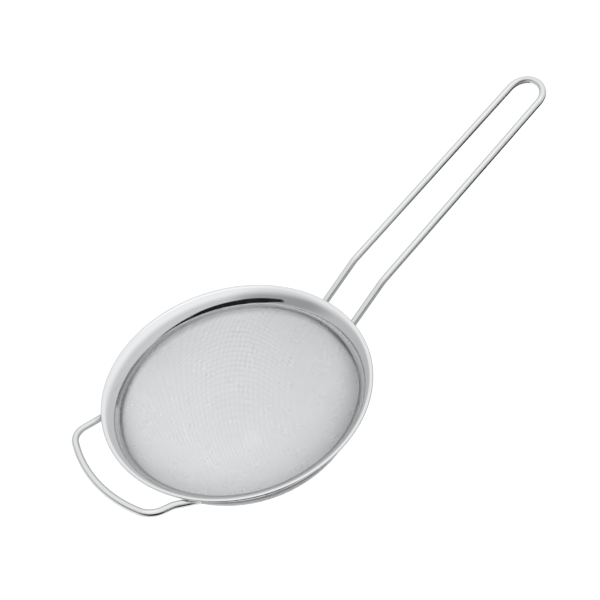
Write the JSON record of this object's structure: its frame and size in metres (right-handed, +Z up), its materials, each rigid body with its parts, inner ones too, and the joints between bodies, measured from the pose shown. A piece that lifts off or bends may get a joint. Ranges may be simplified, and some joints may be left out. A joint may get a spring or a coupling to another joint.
{
  "type": "flour sifter",
  "caption": "Round fine-mesh flour sifter: a dished wire gauze bowl in a polished funnel rim, with a long hairpin wire handle and a short wire rest loop opposite.",
  "frame": {"origin": "middle of the bowl's mouth, on the bowl's axis, level with the top of the rim", "axes": "+Z up along the bowl's axis, out of the mouth; +X from the axis towards the long handle; +Y to the left of the long handle"},
  "size_m": [0.3549, 0.16, 0.1208],
  "materials": {
    "polished_sheet": "polished",
    "woven_gauze": "satin",
    "bright_wire": "polished",
    "weld_bead": "satin"
  },
  "bodies": {
    "root": {"rim_flange": "polished_sheet", "clamp_ring": "polished_sheet", "mesh_bowl": "woven_gauze", "long_handle": "bright_wire", "rest_loop": "bright_wire", "handle_weld_left": "weld_bead", "handle_weld_right": "weld_bead", "loop_weld_left": "weld_bead", "loop_weld_right": "weld_bead"}
  },
  "joints": []
}
